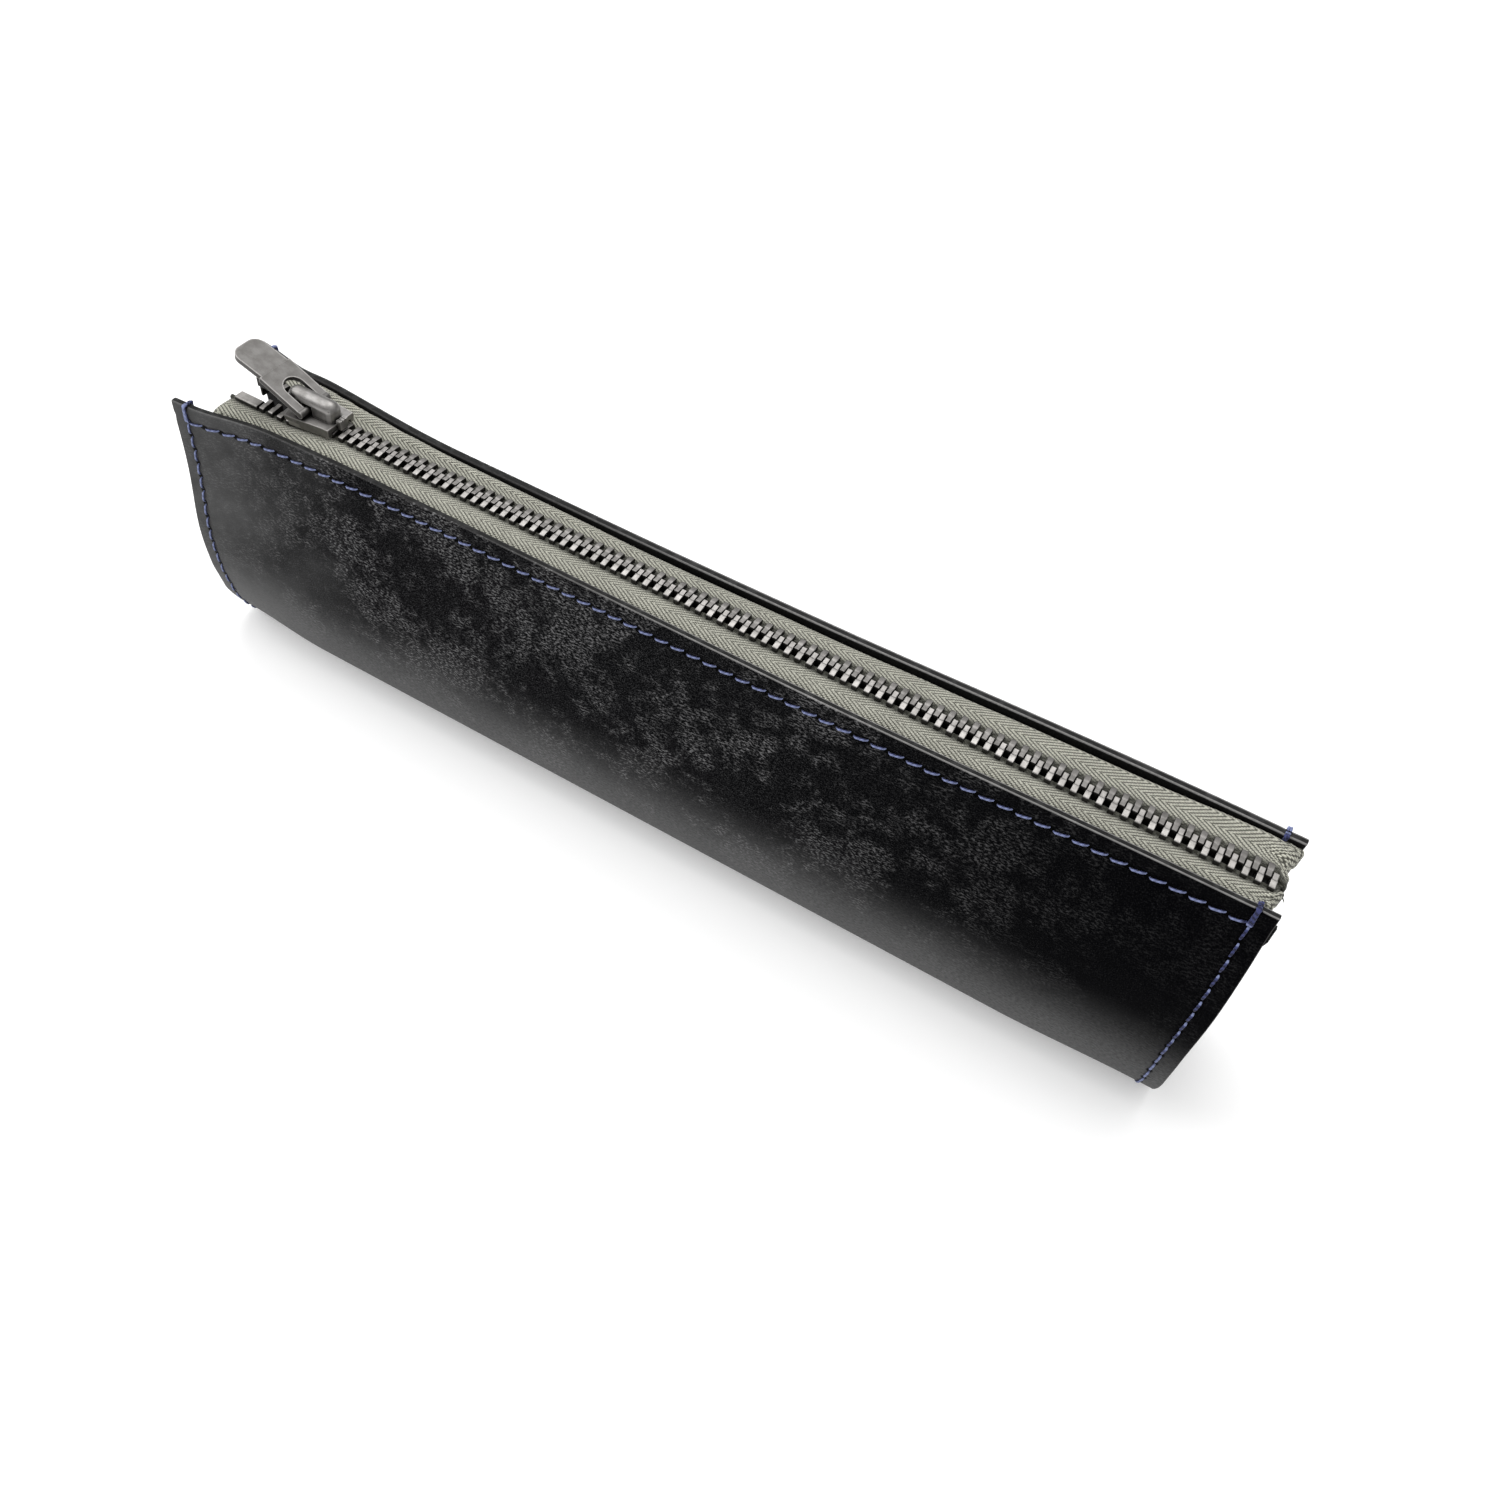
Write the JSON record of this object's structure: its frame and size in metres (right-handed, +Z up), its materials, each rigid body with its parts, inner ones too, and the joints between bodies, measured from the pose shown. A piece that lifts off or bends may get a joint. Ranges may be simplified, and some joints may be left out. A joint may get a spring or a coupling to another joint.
{
  "type": "zipped leather pen case",
  "caption": "Slim U-folded leather pen case with folded end gussets and a metal zip with slider, lock and pull tab along its mouth.",
  "frame": {"origin": "under the middle of the case, on the surface that it stands on", "axes": "+X along the case from the closed zip's slider towards the far end, +Y towards the back wall, +Z up through the mouth"},
  "size_m": [0.198, 0.0252, 0.0625],
  "materials": {
    "body_leather": "matte",
    "gusset_leather": "matte",
    "zip_tape": "matte",
    "zip_teeth": "satin",
    "slider_metal": "satin",
    "spring_metal": "satin",
    "thread": "matte"
  },
  "bodies": {
    "case_body": {"back_panel": "body_leather", "left_gusset": "gusset_leather", "right_gusset": "gusset_leather", "back_tape": "zip_tape", "back_teeth": "zip_teeth", "back_top_stop": "zip_teeth"},
    "front_wall": {"front_panel": "body_leather", "front_tape": "zip_tape", "front_teeth": "zip_teeth", "front_top_stop": "zip_teeth"},
    "slider": {"slider_body": "slider_metal", "slider_crown": "slider_metal"},
    "pull_tab": {"pull_tab": "slider_metal"},
    "lock_spring": {"lock_spring": "spring_metal"}
  },
  "joints": [
    {"name": "slider_travel", "type": "slide", "parent": "case_body", "child": "slider", "axis": [1, 0, 0], "range_m": [0, 0.167], "deforming": ["front_tape", "back_tape", "front_teeth", "back_teeth"]},
    {"name": "mouth_opening", "type": "hinge", "parent": "case_body", "child": "front_wall", "pos_m": [0, -0.01255, 0.01101], "axis": [1, 0, 0], "range_deg": [0, 14]},
    {"name": "pull_tab_swing", "type": "hinge", "parent": "slider", "child": "pull_tab", "pos_m": [-0.0767, 0, 0.0561], "axis": [0, 1, 0], "range_deg": [0, 140]},
    {"name": "lock_lift", "type": "hinge", "parent": "slider", "child": "lock_spring", "pos_m": [-0.0798, 0, 0.05698], "axis": [0, 1, 0], "range_deg": [-3.2, 0]}
  ],
  "couplings": [
    {"joint": "mouth_opening", "follows": "slider_travel", "rad_per_m": 1.463},
    {"joint": "lock_lift", "follows": "pull_tab_swing", "ratio": -0.0228}
  ]
}
